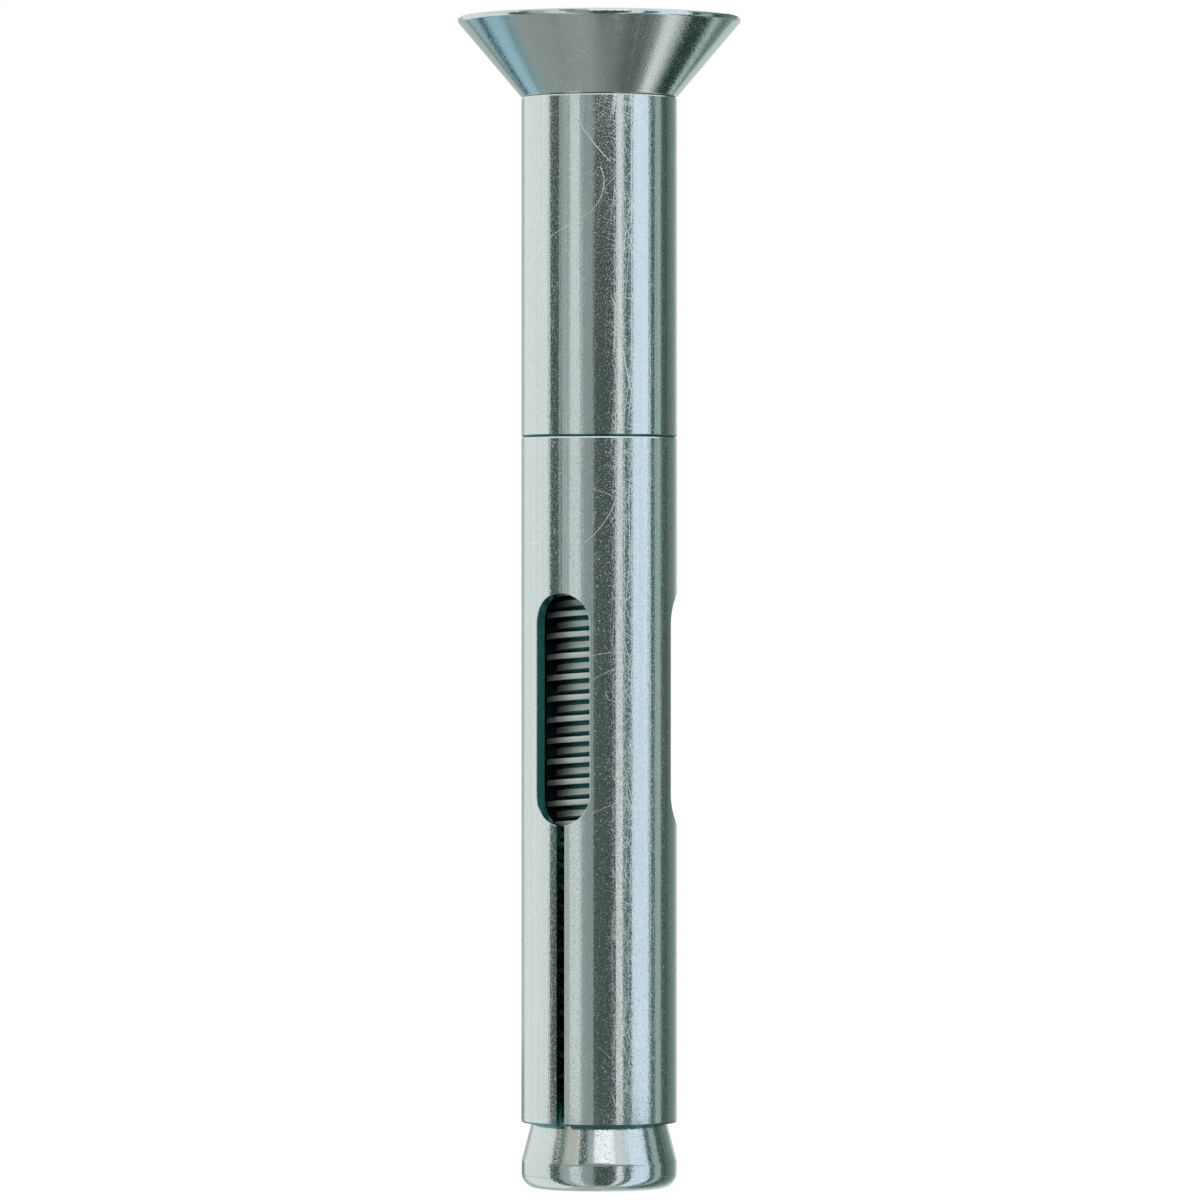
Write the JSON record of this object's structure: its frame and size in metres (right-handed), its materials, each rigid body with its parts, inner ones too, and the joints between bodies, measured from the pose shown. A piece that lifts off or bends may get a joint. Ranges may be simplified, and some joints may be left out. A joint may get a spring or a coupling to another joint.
{
  "type": "flat-head sleeve anchor",
  "caption": "Zinc-plated masonry anchor: a countersunk machine screw with a cross recess, a plain spacer sleeve, a slotted expansion sleeve and a cone nut.",
  "frame": {"origin": "centre of the cone nut's flat end face, on the anchor's axis", "axes": "+Z along the axis from the nut's end face to the head; +X through the middle of one slot of the expansion sleeve"},
  "size_m": [0.0172, 0.0172, 0.071],
  "materials": {
    "zinc_plated_steel": "bright zinc plating over turned and cold-headed steel",
    "zinc_plated_sheet": "bright zinc plating over rolled sheet, with fine drawing scratches"
  },
  "bodies": {
    "sleeves": {"spacer_sleeve": "zinc_plated_sheet", "expansion_sleeve": "zinc_plated_sheet"},
    "screw": {"screw": "zinc_plated_steel"},
    "nut": {"cone_nut": "zinc_plated_steel"}
  },
  "joints": [
    {"name": "screw_turn", "type": "hinge", "parent": "sleeves", "child": "screw", "pos_m": [0, 0, 0.035], "axis": [0, 0, 1], "range_deg": [0, 1080]},
    {"name": "nut_travel", "type": "slide", "parent": "sleeves", "child": "nut", "axis": [0, 0, -1], "range_m": [0, 0.00382]}
  ],
  "couplings": [
    {"joint": "nut_travel", "follows": "screw_turn", "m_per_rad": 0.00020213}
  ]
}
